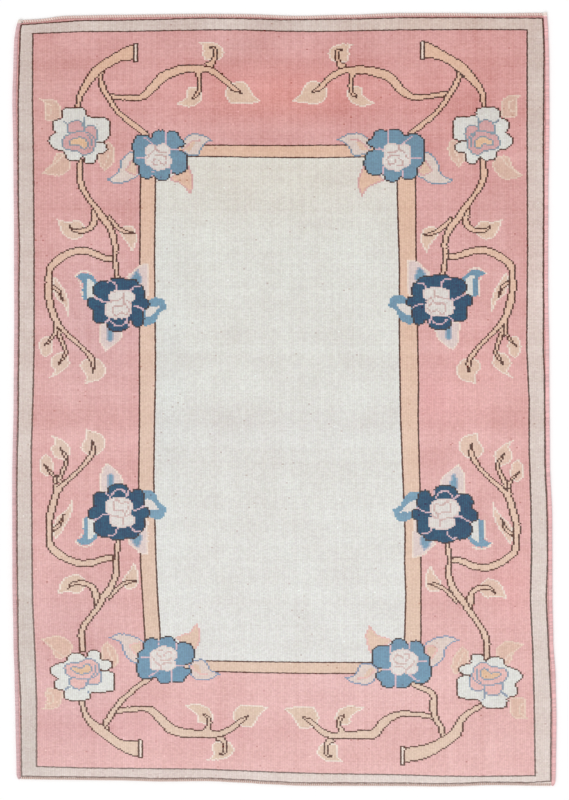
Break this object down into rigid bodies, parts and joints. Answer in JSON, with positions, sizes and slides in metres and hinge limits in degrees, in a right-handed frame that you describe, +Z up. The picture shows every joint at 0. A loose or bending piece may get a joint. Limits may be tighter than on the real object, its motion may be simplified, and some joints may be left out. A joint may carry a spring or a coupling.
{
  "type": "anatolian rug",
  "caption": "Flat hand-knotted wool pile rug with a flower and vine border, wrapped side cords and whip-stitched ends; it lies on a floor.",
  "frame": {"origin": "middle of the finished outline, on the underside that lies on the floor", "axes": "+Z up out of the pile; +Y along the warps, towards the upper end in the picture; +X across the width, to the right in the picture"},
  "size_m": [1.3398, 1.9058, 0.008],
  "materials": {
    "pile_wool": "matte sheared wool pile, dusty pink with an ivory field",
    "side_cord_wool": "matte wrapped pink wool",
    "whip_yarn": "matte undyed whip-stitched yarn"
  },
  "bodies": {
    "root": {"knotted_panel": "pile_wool", "side_cord_left": "side_cord_wool", "side_cord_right": "side_cord_wool", "end_binding_upper": "whip_yarn", "end_binding_lower": "whip_yarn"}
  },
  "joints": []
}
